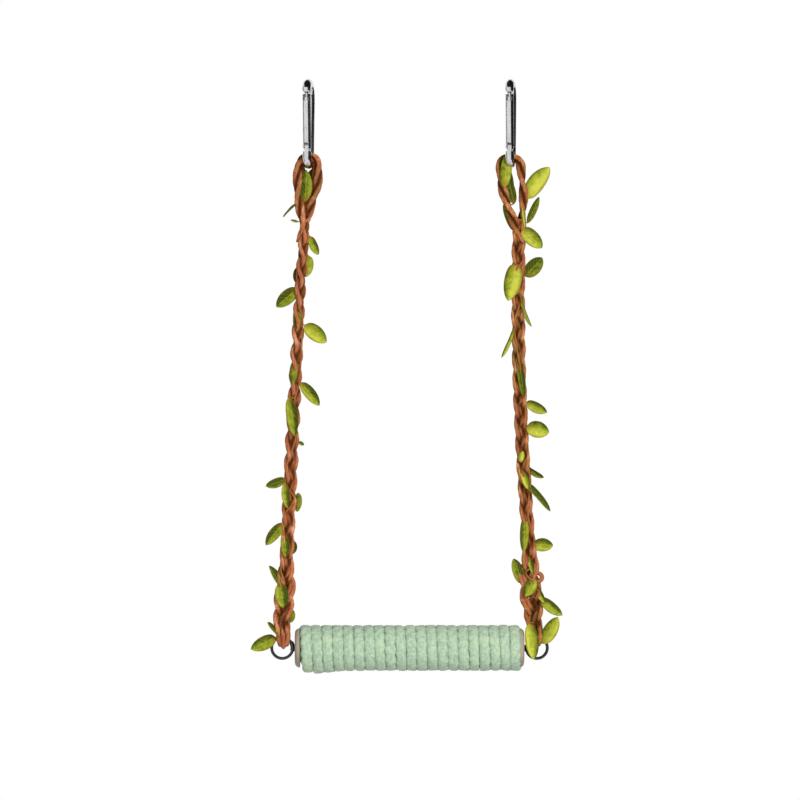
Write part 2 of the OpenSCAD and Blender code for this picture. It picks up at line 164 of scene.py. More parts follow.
# %% [markdown]
# ## How a cord is laid
# A cord is a bundle of plies that wind round each other. A single smooth tube would look like
# plastic, and a bump pattern alone leaves the outline straight. So each ply is a curve of its
# own, a helix round the route that the cord takes, with a round bevel. The curves are turned
# into one mesh, whose UV map runs along the ply and round it, for the fibres.

# %% Plies round a route


def even(route, step):
    """The same route with its points an even step apart."""
    out = [route[0]]
    left = step
    for a, b in zip(route, route[1:]):
        length = (b - a).length
        done = 0.0
        while length - done >= left:
            done += left
            out.append(a.lerp(b, done / length))
            left = step
        left -= length - done
    if (out[-1] - route[-1]).length > step / 4:
        out.append(route[-1])
    return out


def carried_sides(route):
    """Two directions square to the route at each point, carried along without twisting."""
    sides = []
    side = Vector((0, 1, 0.01))
    for i in range(len(route)):
        ahead = (route[min(i + 1, len(route) - 1)] - route[max(i - 1, 0)]).normalized()
        side = (side - ahead * side.dot(ahead)).normalized()
        sides.append((side, ahead.cross(side)))
    return sides


def plies(route, count, out, lay, start=0.0):
    """Lines that wind round a route: count of them, out from it, one turn in each lay."""
    sides = carried_sides(route)
    lines = []
    for k in range(count):
        line = []
        gone = 0.0
        for i, p in enumerate(route):
            if i:
                gone += (p - route[i - 1]).length
            a = start + math.tau * (gone / lay + k / count)
            line.append(p + out * (math.cos(a) * sides[i][0] + math.sin(a) * sides[i][1]))
        lines.append(line)
    return lines


def mark_hollows(mesh, core, reach):
    """How far each vertex lies out from the core, 0 at it and 1 at the outside; painted shade goes where it
    is low.
    """
    tree = kdtree.KDTree(len(core))
    for i, p in enumerate(core):
        tree.insert(p * MM, i)
    tree.balance()
    outward = mesh.attributes.new("outward", "FLOAT", "POINT")
    shares = [tree.find(v.co)[2] / (reach * MM) for v in mesh.vertices]
    outward.data.foreach_set("value", shares)


def laid(name, lines, radius, body, finish, core, reach, resolution=1, ends=1.0):
    """One mesh of round plies along lines in millimetres. ends is how thick their tips are."""
    curve = bpy.data.curves.new(name, "CURVE")
    curve.dimensions = "3D"
    curve.bevel_depth = radius * MM
    curve.bevel_resolution = resolution
    curve.use_fill_caps = True
    for line in lines:
        spline = curve.splines.new("POLY")
        spline.points.add(len(line) - 1)
        for i, p in enumerate(line):
            spline.points[i].co = (*(p * MM), 1)
            near = min(i, len(line) - 1 - i)
            spline.points[i].radius = ends + (1 - ends) * min(1, near / 4)
    holder = bpy.data.objects.new(name + "_curve", curve)
    scene.collection.objects.link(holder)
    shaped = holder.evaluated_get(bpy.context.evaluated_depsgraph_get())
    mesh = bpy.data.meshes.new_from_object(shaped)
    bpy.data.objects.remove(holder)
    mesh.name = name
    piece = bpy.data.objects.new(name, mesh)
    scene.collection.objects.link(piece)
    mesh.shade_smooth()
    mesh.materials.clear()
    mesh.materials.append(finish)
    mark_hollows(mesh, core, reach)
    if body:
        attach(piece, body)
    print(name, len(mesh.polygons), "faces")
    return piece


print("cords can be laid")

# %% [markdown]
# ## Finishes
# A finish is a Principled shader with a few patterns. Sums on those patterns are written as
# plain Python: the small class below turns each sum into a Math node.

# %% Patterns as numbers


class Pattern:
    """A number that varies over a surface. Sums of patterns become Math nodes."""

    def __init__(self, finish, socket):
        self.finish = finish
        self.socket = socket

    def math(self, operation, *values):
        inputs = dict(enumerate(values))
        return self.finish.take("ShaderNodeMath", {"operation": operation}, inputs)

    def __add__(self, other):
        return self.math("ADD", self, other)

    __radd__ = __add__

    def __mul__(self, other):
        return self.math("MULTIPLY", self, other)

    __rmul__ = __mul__

    def __sub__(self, other):
        return self.math("SUBTRACT", self, other)

    def __rsub__(self, other):
        return self.math("SUBTRACT", other, self)

    def __pow__(self, other):
        return self.math("POWER", self, other)

    def sin(self):
        return self.math("SINE", self)

    def size(self):
        return self.math("ABSOLUTE", self)

    def step(self, low, high):
        """0 below low, 1 above high, smooth between."""
        return self.finish.take(
            "ShaderNodeMapRange",
            {"interpolation_type": "SMOOTHSTEP"},
            {0: self, 1: low, 2: high, 3: 0.0, 4: 1.0},
        )


class Finish:
    """A material with a Principled shader. Fixed values go straight on the shader's sockets."""

    def __init__(self, name, **fixed):
        self.material = bpy.data.materials.new(name)
        self.material.use_nodes = True
        self.tree = self.material.node_tree
        self.shader = self.tree.nodes["Principled BSDF"]
        for socket, value in fixed.items():
            self.shader.inputs[socket.replace("_", " ")].default_value = value

    def node(self, kind, settings=None, inputs=None):
        """A new node. An input is a pattern or a socket, which is linked, or a fixed value."""
        made = self.tree.nodes.new(kind)
        for key, value in (settings or {}).items():
            setattr(made, key, value)
        for key, value in (inputs or {}).items():
            if isinstance(value, Pattern):
                value = value.socket
            if isinstance(value, bpy.types.NodeSocket):
                self.tree.links.new(value, made.inputs[key])
            else:
                made.inputs[key].default_value = value
        return made

    def take(self, kind, settings=None, inputs=None):
        return Pattern(self, self.node(kind, settings, inputs).outputs[0])

    def place(self, stretch=(1, 1, 1), move=(0, 0, 0), source="Object"):
        """Where a point of the surface lies, stretched and moved."""
        where = self.node("ShaderNodeTexCoord").outputs[source]
        inputs = {"Vector": where, "Scale": stretch, "Location": move}
        return self.node("ShaderNodeMapping", None, inputs).outputs[0]

    def noise(self, where, scale, detail=3.0):
        inputs = {"Vector": where, "Scale": scale, "Detail": detail, "Roughness": 0.55}
        return self.take("ShaderNodeTexNoise", None, inputs)

    def axes(self, where):
        split = self.node("ShaderNodeSeparateXYZ", None, {0: where})
        return [Pattern(self, split.outputs[i]) for i in range(3)]

    def stored(self, name):
        """A number kept on the mesh, such as how bright each leaf is."""
        kept = self.node("ShaderNodeAttribute", {"attribute_name": name})
        return Pattern(self, kept.outputs["Fac"])

    def mix(self, share, first, second):
        """The first colour where share is 0, the second where it is 1."""
        made = self.node("ShaderNodeMix", {"data_type": "RGBA"}, {0: share})
        for key, value in ((6, first), (7, second)):
            if isinstance(value, bpy.types.NodeSocket):
                self.tree.links.new(value, made.inputs[key])
            else:
                made.inputs[key].default_value = (*value, 1)
        return made.outputs[2]

    def feed(self, socket, value):
        if isinstance(value, Pattern):
            value = value.socket
        self.tree.links.new(value, self.shader.inputs[socket])

    def bump(self, height, strength, distance):
        inputs = {"Height": height, "Strength": strength, "Distance": distance}
        self.feed("Normal", self.node("ShaderNodeBump", None, inputs).outputs[0])


def linear(value):
    return value / 12.92 if value <= 10 / 255 else ((value + 0.055) / 1.055) ** 2.4


def colour(red, green, blue):
    """A shader's colour from the 0 to 255 values of a picture."""
    return tuple(linear(c / 255) for c in (red, green, blue))


print("finishes can be mixed")

# %% [markdown]
# ## Plaited cord
# The cord is a soft reddish-brown yarn. Its fibres run along each ply, so the streaks are noise
# that is stretched along the UV map. Slow noise varies the dye along the cord. The hollows
# between the yarns get painted shade, a darker colour where the surface lies near the cord's
# core. The right cord was dyed in a browner batch, so each side has its own version of the finish.

# %% Finish of the plaited cord
OLIVE = (0.16, 0.1, 0.03)
RED = (0.27, 0.08, 0.04)


def cord_finish(name, light, middle, dark, hollow_shade, hollows=(0.5, 0.95), green=0.52):
    """A dyed yarn with painted shade in its hollows. hollows says how deep that shade lies, green how rare
    its olive is.
    """
    finish = Finish(name, Roughness=0.7, Specular_IOR_Level=0.1)
    fibres = finish.noise(finish.place((55, 12, 1), source="UV"), 1.0, 2)
    patches = finish.noise(finish.place(), 160, 2)
    specks = finish.noise(finish.place(), 2200, 2)
    dye = finish.noise(finish.place((1, 1, 0.6)), 42, 1)
    base = finish.mix((fibres * 0.6 + patches * 0.4).step(0.3, 0.6), dark, middle)
    base = finish.mix((patches * 0.5 + fibres * 0.5).step(0.48, 0.72), base, light)
    base = finish.mix(dye.step(green, green + 0.14) * 0.55, base, OLIVE)
    base = finish.mix((1 - dye).step(0.55, 0.68) * 0.5, base, RED)
    # Painted shade: the last colour goes where the surface lies near the core, in the hollows between yarns
    base = finish.mix(finish.stored("outward").step(*hollows), hollow_shade, base)
    finish.feed("Base Color", base)
    finish.bump(fibres * 0.7 + specks * 0.3, 0.35, 0.1 * MM)
    return finish.material


# The fourth colour of each side is the painted shade in the hollows
CORD = {
    -1: cord_finish(
        "brown_cord",
        colour(220, 164, 126),
        colour(170, 104, 64),
        colour(134, 74, 42),
        colour(80, 40, 16),
    ),
    1: cord_finish(
        "olive_cord",
        colour(216, 162, 116),
        colour(164, 102, 56),
        colour(124, 70, 34),
        colour(72, 38, 12),
        green=0.46,
    ),
}
print("cord finish ready")

# %% [markdown]
# ## The plaits
# Each plait has three strands, and each strand is two yarns side by side. A strand swings from
# side to side in a sine and from front to back at twice that rate, which is what makes the
# three pass over and under each other. Each yarn is three plies. Just above the perch the
# plaits are looser, so a straight yarn fills their inside, and on the right one yarn is pulled.

# %% Plaits
STRAND_OUT = 0.84
PLY_R = 0.93
PLY_OUT = 0.32
PLY_LAY = 15.0
PLAIT_REACH = 3.4
# Where each plait starts to loosen, over which share of its height, and how much wider it gets
BULGE = {-1: (0.9, 0.08, 0.85), 1: (0.87, 0.07, 1.1)}
# The pulled yarn's four stops
SNAG = ((66.5, -0.6, -252.0), (70.6, -1.6, -252.6), (70.0, -1.6, -257.2), (66.5, -0.4, -256.6))


def ease(t):
    """0 to 1 with a soft start and a soft stop."""
    t = min(max(t, 0.0), 1.0)
    return t * t * (3 - 2 * t)


def plait_lean(side, t):
    """Near the perch the right plait stands a little to the left of its line."""
    return -1.6 * ease((t - 0.88) / 0.07) if side > 0 else 0.0


def plait_share(side, t, amount):
    """How wide a plait is: drawn in at the top, thin at first on the left, loose at the foot."""
    drawn = 0.4 + 0.6 * ease((t + 0.015) / 0.05)
    thin = 0.3 * (1 - ease(t / 0.7)) if side < 0 else 0.05
    start, rise, more = BULGE[side]
    bulge = ease((t - start) / rise) * (1 - 0.6 * ease((t - 1.01) / 0.07))
    return amount * (1 - thin + more * bulge) * drawn


def strand_middle(side, strand, t):
    """The middle of a strand, which swings once across the plait and twice through it a pitch."""
    phase = math.tau * (t * PLAIT_LEN / PLAIT_PITCH + strand / 3)
    deep = 1.35 * (0.8 + 0.2 * plait_share(side, t, 1.0))
    across = plait_lean(side, t) + plait_share(side, t, 1.8) * math.sin(phase)
    return across_plait(side, t, across, deep * math.sin(2 * phase))


def yarn(route, start=0.0, fat=1.0):
    """One yarn of three plies. Its twist is long and shallow, so it looks smooth from afar."""
    return plies(even(route, CORD_STEP), 3, PLY_OUT * fat, PLY_LAY, start)


def strand_yarns(side, strand, top=-0.012, bottom=1.008, steps=420):
    """The two yarns of a strand, side by side across the plait's face."""
    heights = [top + (bottom - top) * i / steps for i in range(steps + 1)]
    route = [strand_middle(side, strand, t) for t in heights]
    yarns = []
    for hand in (-1, 1):
        line = []
        for i, (p, t) in enumerate(zip(route, heights)):
            ahead = (route[min(i + 1, steps)] - route[max(i - 1, 0)]).normalized()
            a = plait_turn(side, t)
            face = Vector((-math.sin(a), math.cos(a), 0))
            beside = ahead.cross(face).normalized()
            loose = 1 + 0.3 * ease((t - 0.9) / 0.1)
            line.append(p + beside * hand * STRAND_OUT * loose)
        yarns.append(line)
    return yarns


def plait_core(side):
    heights = [i / 200 for i in range(201)]
    return [across_plait(side, t, plait_lean(side, t), 0) for t in heights]


def filling(side):
    """A straight yarn inside the loose foot of a plait, a little behind its middle."""
    heights = [0.83 + 0.17 * i / 40 for i in range(41)]
    return [across_plait(side, t, plait_lean(side, t), 1.0) for t in heights]


def snag():
    """A bit of yarn that has been pulled out of the right plait near its foot."""
    stops = [Vector(stop) for stop in SNAG]
    return [bezier(stops, i / 16) for i in range(17)]


for side, word in SIDES.items():
    core = plait_core(side)
    for strand, letter in enumerate("abc"):
        lines = []
        if letter == "b":
            lines += yarn(filling(side), 0.5, 1.3)
            if side > 0:
                lines += yarn(snag())
        for k, route in enumerate(strand_yarns(side, strand)):
            lines += yarn(route, 1.3 * k + strand)
        name = f"{word}_strand_{letter}"
        piece = laid(name, lines, PLY_R, f"{word}_plait", CORD[side], core, PLAIT_REACH)
        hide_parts(f"{word}_plait_cord_{letter}")

# %% [markdown]
# ## The loops
# Above each plait the cord is folded over the hook. Each leg is two yarns twisted round each
# other. The piece bends at the neck between the loop and the plait, so it runs a little way
# into the plait, where its ends are hidden. The left loop has a second, inner round of cord.

# %% Loops over the hooks
# For each side and leg, how far beside the neck the leg ends
LEG_FOOT = {-1: {-1: -0.6, 1: 0.4}, 1: {-1: -2.6, 1: 0.6}}
LOOP_FAT = 1.2
LOOP_LAY = 31.0
LOOP_OUT = 1.15
LOOP_REACH = 2.6
INNER_BACK = 1.3
INNER_IN = 1.9


def loop_leg(side, leg, t):
    """One leg of a loop, from beside the hook down to the neck."""
    x0 = side * HOOK_X + leg * LOOP_R
    x1 = side * NECK_X[side]
    z0 = SWING_Z - LOOP_R
    z1 = NECK_Z + NECK_GAP / 2
    z = z0 - z1
    foot = LEG_FOOT[side][leg]
    stops = (
        Vector((x0, 0, z0)),
        Vector((x0 + leg * LOOP_R / 5, 0, z0 - z / 3)),
        Vector((x1 + leg * LOOP_R / 2 + 1.4 * foot, leg * LAP, z1 + z / 3)),
        Vector((x1 + foot, leg * LAP, z1)),
    )
    return bezier(stops, t)


def loop_route(side):
    """The whole loop: up one leg, over the hook and down the other, its ends in the plait."""
    legs = [[loop_leg(side, leg, i / 40) for i in range(41)] for leg in (-1, 1)]
    ends = []
    for k, leg in enumerate((-1, 1)):
        foot = strand_middle(side, k, 0.05)
        ends.append([legs[k][-1].lerp(foot, i / 8) for i in range(1, 9)])
    top = []
    for i in range(1, 30):
        a = math.radians(6 * i)
        x = side * HOOK_X - LOOP_R * math.cos(a)
        top.append(Vector((x, 0, SWING_Z - LOOP_R + LOOP_R * math.sin(a))))
    return ends[0][::-1] + legs[0][::-1] + top + legs[1] + ends[1]


def inner_round(side, leg):
    """The left loop's second round of cord, tucked inside its legs and a little behind."""
    start = Vector((side * HOOK_X, INNER_BACK, SWING_Z - LOOP_R))
    route = []
    for a in (0.75, 0.5, 0.25):
        across = leg * (LOOP_R * math.cos(a) - INNER_IN)
        route.append(start + Vector((across, 0, 3.2 * math.sin(a))))
    for i in range(37):
        inwards = INNER_IN + 0.7 * min(1, i / 2)
        back = INNER_BACK - leg * LAP * i / 40
        route.append(loop_leg(side, leg, i / 40) + Vector((-leg * inwards, back, 0)))
    return route


for side, word in SIDES.items():
    lines = []
    core = even(loop_route(side), CORD_STEP)
    for k, route in enumerate(plies(core, 2, LOOP_OUT, LOOP_LAY * -side, start=0.9)):
        lines += yarn(route, k, LOOP_FAT)
    if side < 0:
        for leg in (-1, 1):
            inner = even(inner_round(side, leg), CORD_STEP)
            lines += yarn(inner, leg, LOOP_FAT)
            core += inner
    name = f"{word}_loop_yarns"
    piece = laid(name, lines, PLY_R * LOOP_FAT, None, CORD[side], core, LOOP_REACH)
    above, below = bend_span(side * NECK_X[side], NECK_Z)
    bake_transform(piece, f"{word}_loop", f"{word}_plait", above, below)
    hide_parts(f"{word}_loop_cord")

# %% [markdown]
# ## The tails
# Below its joint the plait runs on to the screw eye. Each strand is one yarn that is folded over
# the top wire of the ring: one half comes down in front of the wire, the other behind it. The
# middle yarn hangs lowest, so the three folds make a V.

# %% Tails through the rings
TUCK_R = 2.35
RING_TOP = RING_Z - 0.25
FOLD_X = {-1: -66.1, 1: 65.7}
FOLD_GAP = 2.5
TAIL_FAT = 1.1
TAIL_REACH = 4.2
TAIL_STEPS = 60
TAIL_TOP = 0.985
TAIL_END = 1 + (TAIL_Z - NECK_GAP / 2 - RING_TOP) / PLAIT_LEN


def ring_order(side):
    """Where each strand ends up on the ring's wire: -1, 0 or 1, from left to right."""
    across = [strand_middle(side, strand, TAIL_END - 0.03).x for strand in range(3)]
    return [sorted(across).index(x) - 1 for x in across]


def tail_route(side, strand):
    """A strand's yarn: down in front of the ring's wire, round under it and up behind it."""
    order = ring_order(side)[strand]
    yarns = strand_yarns(side, strand, TAIL_TOP, TAIL_END, TAIL_STEPS)
    halves = []
    for face, half in zip((-1, 1), yarns):
        x = FOLD_X[side] + order * FOLD_GAP
        line = []
        for i, p in enumerate(half):
            t = i / TAIL_STEPS
            moved = p + Vector((side * (EYE_X - TAIL_X) * ease(t), 0, 0))
            line.append(moved.lerp(Vector((x, face * TUCK_R, p.z)), ease((t - 0.55) / 0.45)))
        halves.append(line)
    depth = TUCK_R + 2.3 - 1.1 * abs(order)
    under = []
    for i in range(1, 20):
        a = math.radians(9 * i)
        dip = math.sin(a)
        x = FOLD_X[side] + order * (FOLD_GAP - 0.9 * dip)
        under.append(Vector((x, -TUCK_R * math.cos(a), RING_TOP - depth * dip)))
    return halves[0] + under + halves[1][::-1]


def tail_core(side):
    """The middle of a tail, from inside the plait's foot to below the ring's wire."""
    core = []
    for i in range(51):
        x = side * (TAIL_X + (EYE_X - TAIL_X) * i / 50)
        core.append(Vector((x, 0, TAIL_Z + 4 - 0.55 * i)))
    return core


for side, word in SIDES.items():
    lines = []
    for strand in range(3):
        lines += yarn(tail_route(side, strand), strand, TAIL_FAT)
    core = tail_core(side)
    name = f"{word}_tail_yarns"
    piece = laid(name, lines, PLY_R * TAIL_FAT, None, CORD[side], core, TAIL_REACH)
    above, below = bend_span(side * TAIL_X, TAIL_Z)
    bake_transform(piece, f"{word}_plait", f"{word}_tail", above, below)
    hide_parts(f"{word}_tail_cords")

# %% [markdown]
# ## The vine
# A thin olive-brown stem winds round each plait and passes the foot of every leaf. Its route is
# a list of places down the plait and angles round it, and the corners are then smoothed.

# %% Vine stems
# Shares of the plait's height, and the angle in degrees at which the stem stands there
STEM_TURNS = {
    -1: [
        (0.035, 0), (0.085, 20), (0.115, 200), (0.175, 185), (0.265, 350),
        (0.42, 350), (0.475, 270), (0.575, 330), (0.67, 190), (0.7, 205),
        (0.74, 345), (0.8, 185), (0.84, 240), (0.93, 200), (0.965, 265),
    ],
    1: [
        (0.02, 350), (0.09, 370), (0.125, 235), (0.2, 310), (0.275, 200),
        (0.475, 350), (0.54, 350), (0.645, 370), (0.68, 350), (0.79, 270),
        (0.86, 350), (0.92, 330), (0.94, 180), (0.965, 275),
    ],
}
STEM_R = 0.55
STEM_STEP = 0.8
STEM_REACH = 0.5


def stem_place(side, t, degrees):
    """The stem's place at a share of the plait's height and an angle round it."""
    a = math.radians(degrees) - plait_turn(side, t)
    return across_plait(side, t, (2.4 + 1.0 * t * t) * math.cos(a), 2.3 * math.sin(a))


def stem_route(side):
    turns = STEM_TURNS[side]
    rows = [(0.02, turns[0][1])] + turns + [(0.98, turns[-1][1])]
    route = []
    for (t0, angle0), (t1, angle1) in zip(rows, rows[1:]):
        n = max(3, math.ceil(abs(angle1 - angle0) / 10))
        for k in range(n):
            t = t0 + (t1 - t0) * k / n
            route.append(stem_place(side, t, angle0 + (angle1 - angle0) * k / n))
    route.append(stem_place(side, *rows[-1]))
    for _ in range(3):
        smoothed = [(a + 2 * b + c) / 4 for a, b, c in zip(route, route[1:], route[2:])]
        route = [route[0]] + smoothed + [route[-1]]
    return route


# The fourth colour is painted shade in the stem's hollows
vine_brown = cord_finish(
    "vine_brown",
    colour(170, 116, 62),
    colour(142, 86, 42),
    colour(110, 64, 26),
    colour(70, 40, 14),
    hollows=(0.3, 0.8),
)
stems = {}
for side, word in SIDES.items():
    route = even(stem_route(side), STEM_STEP)
    stems[side] = route
    piece = laid(
        f"{word}_stem",
        [route],
        STEM_R,
        f"{word}_plait",
        vine_brown,
        route,
        STEM_REACH,
        resolution=2,
        ends=0.4,
    )
    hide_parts(f"{word}_vine")

# %% [markdown]
# ## Leaves
# Each leaf is a piece of printed cloth, cut to a rounded point, a little cupped, with a pressed
# midrib. It starts as a flat grid whose UV map runs from the stalk to the tip and from edge to
# edge, so that the printed veins follow the leaf however it bends. All the leaves of one length
# of cord are one piece. Those at the left ring bend with the perch; the right ring only rests
# on its cord, so the leaves there follow the cord alone.

# %% One leaf
dice = random.Random(7)
CLOTH = 0.35
STALK_R = 0.4
STALK_END = 0.25
STALK_MORE = 0.8


def leaf_place(foot, tip, turn):
    """A leaf's own axes: along it, across it, and out of its face, which looks to the front."""
    along = (tip - foot).normalized()
    face = (Vector((0, -1, 0)) + along * along.y).normalized()
    axes = Matrix((along, face.cross(along), face)).transposed().to_4x4()
    return Matrix.Translation(foot) @ axes @ Matrix.Rotation(math.radians(turn), 4, "X")


def add_leaf(mesh, root, foot, tip, width, turn, tone):
    """One cupped leaf from foot to tip, with a stalk that comes from the root."""
    bright = mesh.verts.layers.float["tone"]
    length = (tip - foot).length
    cup = dice.uniform(0.15, 0.4)
    droop = dice.uniform(-0.06, 0.03)
    wave = dice.uniform(0, math.tau)
    bend = dice.uniform(-0.03, 0.03)
    # Painted shade: the upper half of the leaf is darker than the lower half, by a share that differs from
    # leaf to leaf
    half_shade = dice.uniform(0.35, 0.7)
    place = leaf_place(foot, tip, turn)
    half_shade *= -1 if place.col[1].z > 0 else 1
    made = bmesh.ops.create_grid(mesh, x_segments=14, y_segments=8, size=0.5, calc_uvs=True)
    for v in made["verts"]:
        along = v.co.x + 0.5
        across = v.co.y * 2
        pointed = 0.58 if along < 0.5 else 0.7
        outline = (1 - abs(2 * along**0.92 - 1) ** 2.1) ** pointed if 0 < along < 1 else 0.0
        half = width / 2 * outline + 0.12
        x = along * length
        y = across * half + bend * length * math.sin(math.pi * along)
        z = cup * half * across * across + droop * length * along * along
        z += 0.16 * math.sin(7 * along + wave) * across * abs(across)
        v.co = (x, y, z)
        v[bright] = tone + half_shade * across
    bmesh.ops.transform(mesh, matrix=Matrix.Scale(MM, 4) @ place, verts=made["verts"])
    way = foot - root
    stalk = bmesh.ops.create_cone(
        mesh,
        cap_ends=True,
        segments=8,
        radius1=STALK_R,
        radius2=STALK_END,
        depth=way.length + STALK_MORE,
    )
    for v in stalk["verts"]:
        v[bright] = -1.0
    turned = way.to_track_quat("Z", "Y").to_matrix().to_4x4()
    middle = Matrix.Translation((root + foot) / 2) @ turned
    bmesh.ops.transform(mesh, matrix=Matrix.Scale(MM, 4) @ middle, verts=stalk["verts"])


def leaf_bunch(name, rows, cord, body, replaced, finish):
    """All the leaves of one body. Each stalk comes from the nearest point of its cord or stem."""
    mesh = bmesh.new()
    mesh.loops.layers.uv.new("UVMap")
    mesh.verts.layers.float.new("tone")
    for foot, tip, width, turn, tone in rows:
        foot = Vector(foot)
        root = min(cord, key=lambda p: (p - foot).length)
        add_leaf(mesh, root, foot, Vector(tip), width, turn, tone)
    data = bpy.data.meshes.new(name)
    mesh.to_mesh(data)
    mesh.free()
    data.materials.append(finish)
    data.shade_smooth()
    piece = bpy.data.objects.new(name, data)
    scene.collection.objects.link(piece)
    cloth = piece.modifiers.new("cloth", "SOLIDIFY")
    cloth.thickness = CLOTH * MM
    cloth.offset = 0
    rounded = piece.modifiers.new("rounded", "SUBSURF")
    rounded.levels = rounded.render_levels = 1
    if body == "left_tail":
        above, below = bend_span(0, RING_Z)
        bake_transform(piece, body, "perch", above, below)
    else:
        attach(piece, body)
    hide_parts(replaced)
    print(name, len(rows), "leaves")


print("leaves can be made")

# %% [markdown]
# The leaf's print has a paler midrib, side veins that sweep towards the tip, a darker rim and
# blotches of light and dark green. How bright a leaf is differs from leaf to leaf, and that is
# kept on the mesh as a number, together with painted shade that makes the upper half of each
# leaf darker than its lower half.

# %% Finish of the leaves


def leaf_finish():
    finish = Finish("leaf_cloth", Roughness=0.7, Specular_IOR_Level=0.08)
    along, across, _ = finish.axes(finish.place(source="UV"))
    off_middle = (across * 2 - 1).size()
    midrib = 1 - off_middle.step(0.03, 0.1)
    slanted = (along * 2 - off_middle * 0.55) * math.tau * 3.2
    veins = (slanted.sin() * 0.5 + 0.5).step(0.72, 1.0) * (1 - off_middle.step(0.75, 0.95))
    rim = off_middle.step(0.62, 0.98)
    blotch = finish.noise(finish.place(), 420, 3)
    weave = finish.noise(finish.place(), 3200, 1)
    tone = finish.stored("tone")
    stalk = 1 - (tone + 0.7).step(0, 0.2)
    rust = (1 - along + blotch * 0.5).step(0.95, 1.25)
    bright = tone + (blotch - 0.5)
    base = finish.mix(bright.step(0.05, 0.6), colour(54, 64, 12), colour(116, 124, 28))
    base = finish.mix(bright.step(0.45, 1.25), base, colour(180, 181, 66))
    base = finish.mix(midrib * 0.25 + veins * 0.1, base, colour(186, 190, 80))
    base = finish.mix(rim * 0.6, base, colour(66, 74, 12))
    base = finish.mix(rust * 0.6, base, colour(122, 84, 28))
    base = finish.mix(stalk, base, colour(124, 104, 46))
    finish.feed("Base Color", base)
    finish.bump(veins * 0.5 + midrib * 0.8 + weave * 0.25, 0.6, 0.15 * MM)
    return finish.material


leaf_cloth = leaf_finish()
print("leaf finish ready")

# %% [markdown]
# Every leaf has its own place. A row gives its foot and its tip in millimetres, its width, how
# far it is turned about its length, and how bright it is. Leaves in front of the cord have their
# foot nearer to the camera, and half-hidden ones have it behind the cord.

